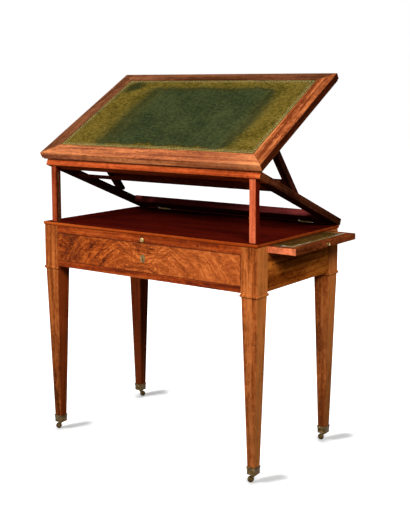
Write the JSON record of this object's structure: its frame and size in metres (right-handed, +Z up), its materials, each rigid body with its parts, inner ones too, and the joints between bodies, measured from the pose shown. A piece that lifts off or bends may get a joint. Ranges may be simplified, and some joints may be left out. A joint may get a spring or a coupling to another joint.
{
  "type": "architect table",
  "caption": "Writing table on square tapered legs whose leather board tilts on an easel above a hinged frame that rises on racked posts, with a drawer and pull-out side slides.",
  "frame": {"origin": "on the floor, midway between the four legs", "axes": "+X to the right of the person at the table, -Y towards that person, +Z up"},
  "size_m": [0.963, 0.5127, 1.2088],
  "materials": {
    "mahogany": "polished",
    "flame_mahogany": "polished veneer",
    "oak": "plain",
    "brass": "aged",
    "iron": "forged",
    "green_leather": "tooled"
  },
  "bodies": {
    "base": {"leg_front_left": "mahogany", "leg_front_right": "mahogany", "leg_rear_left": "mahogany", "leg_rear_right": "mahogany", "brass_sabots": "brass", "desk_top": "mahogany", "front_top_rail": "mahogany", "front_bottom_rail": "mahogany", "back_apron": "mahogany", "side_apron_left": "mahogany", "side_apron_right": "mahogany", "drawer_runners": "oak", "slide_bearers": "oak", "rear_hinge_base_leaves": "brass"},
    "drawer": {"drawer_front": "flame_mahogany", "drawer_side_left": "oak", "drawer_side_right": "oak", "drawer_bottom": "oak", "drawer_back": "oak", "drawer_lock": "iron", "keyhole_escutcheon": "brass"},
    "slide_left": {"slide_board_left": "mahogany", "slide_leather_left": "green_leather", "slide_knob_left": "brass"},
    "slide_right": {"slide_board_right": "mahogany", "slide_leather_right": "green_leather", "slide_knob_right": "brass"},
    "rising_frame": {"frame_front_rail": "mahogany", "frame_rear_rail": "mahogany", "frame_cross_rail": "mahogany", "frame_side_rail_left": "mahogany", "frame_side_rail_right": "mahogany", "rear_hinge_frame_leaves": "brass", "board_hinge_frame_leaves": "brass"},
    "writing_board": {"board_front_rail": "mahogany", "board_back_rail": "mahogany", "board_side_rail_left": "mahogany", "board_side_rail_right": "mahogany", "board_panel": "mahogany", "board_leather": "green_leather", "board_hinge_board_leaves": "brass", "strut_hinge_blocks": "mahogany"},
    "easel": {"easel_strut_left": "mahogany", "easel_strut_right": "mahogany", "easel_cross_bar": "mahogany"},
    "post_assembly_left": {"post_left": "mahogany", "post_rack_left": "brass"},
    "post_assembly_right": {"post_right": "mahogany", "post_rack_right": "brass"},
    "button": {"release_button": "brass"},
    "bar_left": {"release_bar_left": "iron"},
    "bar_right": {"release_bar_right": "iron"},
    "swivel_front_left": {"caster_fork_front_left": "brass"},
    "wheel_front_left": {"caster_wheel_front_left": "brass"},
    "swivel_front_right": {"caster_fork_front_right": "brass"},
    "wheel_front_right": {"caster_wheel_front_right": "brass"},
    "swivel_rear_left": {"caster_fork_rear_left": "brass"},
    "wheel_rear_left": {"caster_wheel_rear_left": "brass"},
    "swivel_rear_right": {"caster_fork_rear_right": "brass"},
    "wheel_rear_right": {"caster_wheel_rear_right": "brass"}
  },
  "joints": [
    {"name": "drawer_slide", "type": "slide", "parent": "base", "child": "drawer", "axis": [0, -1, 0], "range_m": [0, 0.32]},
    {"name": "slide_left_pull", "type": "slide", "parent": "base", "child": "slide_left", "axis": [-1, 0, 0], "range_m": [0, 0.295]},
    {"name": "slide_right_pull", "type": "slide", "parent": "base", "child": "slide_right", "axis": [1, 0, 0], "range_m": [-0.095, 0.2]},
    {"name": "frame_hinge", "type": "hinge", "parent": "base", "child": "rising_frame", "pos_m": [0, 0.246, 0.7203], "axis": [1, 0, 0], "range_deg": [0, 21.6]},
    {"name": "board_hinge", "type": "hinge", "parent": "rising_frame", "child": "writing_board", "pos_m": [0, -0.2234, 0.93046], "axis": [-1, 0, 0], "range_deg": [0, 51.95]},
    {"name": "easel_hinge", "type": "hinge", "parent": "writing_board", "child": "easel", "pos_m": [0, -0.08331, 1.00785], "axis": [1, 0, 0], "range_deg": [0, 81.6]},
    {"name": "post_left_slide", "type": "slide", "parent": "base", "child": "post_assembly_left", "axis": [0, 0, -1], "range_m": [0, 0.2056]},
    {"name": "post_right_slide", "type": "slide", "parent": "base", "child": "post_assembly_right", "axis": [0, 0, -1], "range_m": [0, 0.2056]},
    {"name": "button_press", "type": "slide", "parent": "base", "child": "button", "axis": [0, 1, 0], "range_m": [0, 0.004], "stiffness_N_per_m": 600, "springref_m": -0.002},
    {"name": "bar_left_draw", "type": "slide", "parent": "base", "child": "bar_left", "axis": [1, 0, 0], "range_m": [0, 0.00401]},
    {"name": "bar_right_draw", "type": "slide", "parent": "base", "child": "bar_right", "axis": [-1, 0, 0], "range_m": [0, 0.00401]},
    {"name": "swivel_front_left", "type": "hinge", "parent": "base", "child": "swivel_front_left", "pos_m": [-0.39525, -0.21175, 0.025], "axis": [0, 0, 1], "continuous": true},
    {"name": "wheel_front_left", "type": "hinge", "parent": "swivel_front_left", "child": "wheel_front_left", "pos_m": [-0.40231, -0.21551, 0.01], "axis": [0.4695, -0.8829, 0], "continuous": true},
    {"name": "swivel_front_right", "type": "hinge", "parent": "base", "child": "swivel_front_right", "pos_m": [0.39525, -0.21175, 0.025], "axis": [0, 0, 1], "continuous": true},
    {"name": "wheel_front_right", "type": "hinge", "parent": "swivel_front_right", "child": "wheel_front_right", "pos_m": [0.3893, -0.2171, 0.01], "axis": [0.6691, -0.7431, 0], "continuous": true},
    {"name": "swivel_rear_left", "type": "hinge", "parent": "base", "child": "swivel_rear_left", "pos_m": [-0.39525, 0.21175, 0.025], "axis": [0, 0, 1], "continuous": true},
    {"name": "wheel_rear_left", "type": "hinge", "parent": "swivel_rear_left", "child": "wheel_rear_left", "pos_m": [-0.38819, 0.21551, 0.01], "axis": [-0.4695, 0.8829, 0], "continuous": true},
    {"name": "swivel_rear_right", "type": "hinge", "parent": "base", "child": "swivel_rear_right", "pos_m": [0.39525, 0.21175, 0.025], "axis": [0, 0, 1], "continuous": true},
    {"name": "wheel_rear_right", "type": "hinge", "parent": "swivel_rear_right", "child": "wheel_rear_right", "pos_m": [0.38794, 0.2085, 0.01], "axis": [0.4067, -0.9135, 0], "continuous": true}
  ],
  "couplings": [
    {"joint": "easel_hinge", "follows": "board_hinge", "ratio": 1.5693},
    {"joint": "post_left_slide", "follows": "frame_hinge", "m_per_rad": 0.54511},
    {"joint": "post_right_slide", "follows": "frame_hinge", "m_per_rad": 0.54511},
    {"joint": "bar_left_draw", "follows": "button_press", "ratio": 1},
    {"joint": "bar_right_draw", "follows": "button_press", "ratio": 1}
  ]
}
